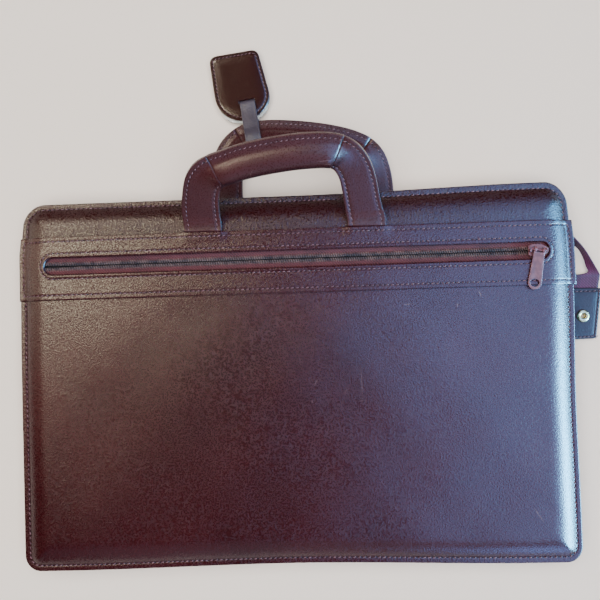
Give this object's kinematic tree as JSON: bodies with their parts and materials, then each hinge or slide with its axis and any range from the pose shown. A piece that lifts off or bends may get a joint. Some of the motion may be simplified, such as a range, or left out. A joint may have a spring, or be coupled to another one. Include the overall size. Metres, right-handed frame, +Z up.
{
  "type": "leather document case",
  "caption": "Flat leather zip portfolio with a pocket zip in a front band, paired padded handles, a luggage tag on a strap and a loose zip tail with a stud tab.",
  "frame": {"origin": "middle of the back face of the case body, on the plane that the case lies on", "axes": "+X across the case to the side with the zip tail, +Y towards the handles, +Z up through the front panel"},
  "size_m": [0.4451, 0.3968, 0.0804],
  "materials": {
    "leather_oxblood": "glossy, fine grain",
    "leather_dark": "semi-gloss",
    "zip_tape": "woven, matte",
    "zip_coil": "satin",
    "enamel": "gloss, worn at the edges",
    "brass": "polished",
    "clear_plastic": "clear"
  },
  "bodies": {
    "case": {"front_panel": "leather_oxblood", "top_strip": "leather_oxblood", "pocket_band": "leather_oxblood", "back_panel": "leather_oxblood", "back_band": "leather_oxblood", "gusset": "leather_dark", "main_zip_tape_front": "zip_tape", "main_zip_tape_back": "zip_tape", "main_zip_chain": "zip_coil", "main_zip_slider": "enamel", "pocket_tape_lower": "zip_tape", "pocket_tape_upper": "zip_tape", "pocket_chain": "zip_coil", "pocket_slider": "enamel", "zip_tail_tape": "zip_tape", "tail_tab": "leather_dark", "tail_stud": "brass", "handle_front_leg_left": "leather_oxblood", "handle_front_grip": "leather_oxblood", "handle_front_leg_right": "leather_oxblood", "handle_back_leg_left": "leather_oxblood", "handle_back_grip": "leather_oxblood", "handle_back_leg_right": "leather_oxblood", "tag_back": "leather_oxblood", "tag_card": "clear_plastic", "tag_front": "leather_oxblood", "tag_strap": "leather_oxblood"},
    "puller": {"pocket_puller": "enamel"}
  },
  "joints": [
    {"name": "pocket_puller_swing", "type": "hinge", "parent": "case", "child": "puller", "pos_m": [0.1823, 0.0896, 0.03518], "axis": [-0.9848, 0.1736, 0], "range_deg": [0, 165]}
  ]
}
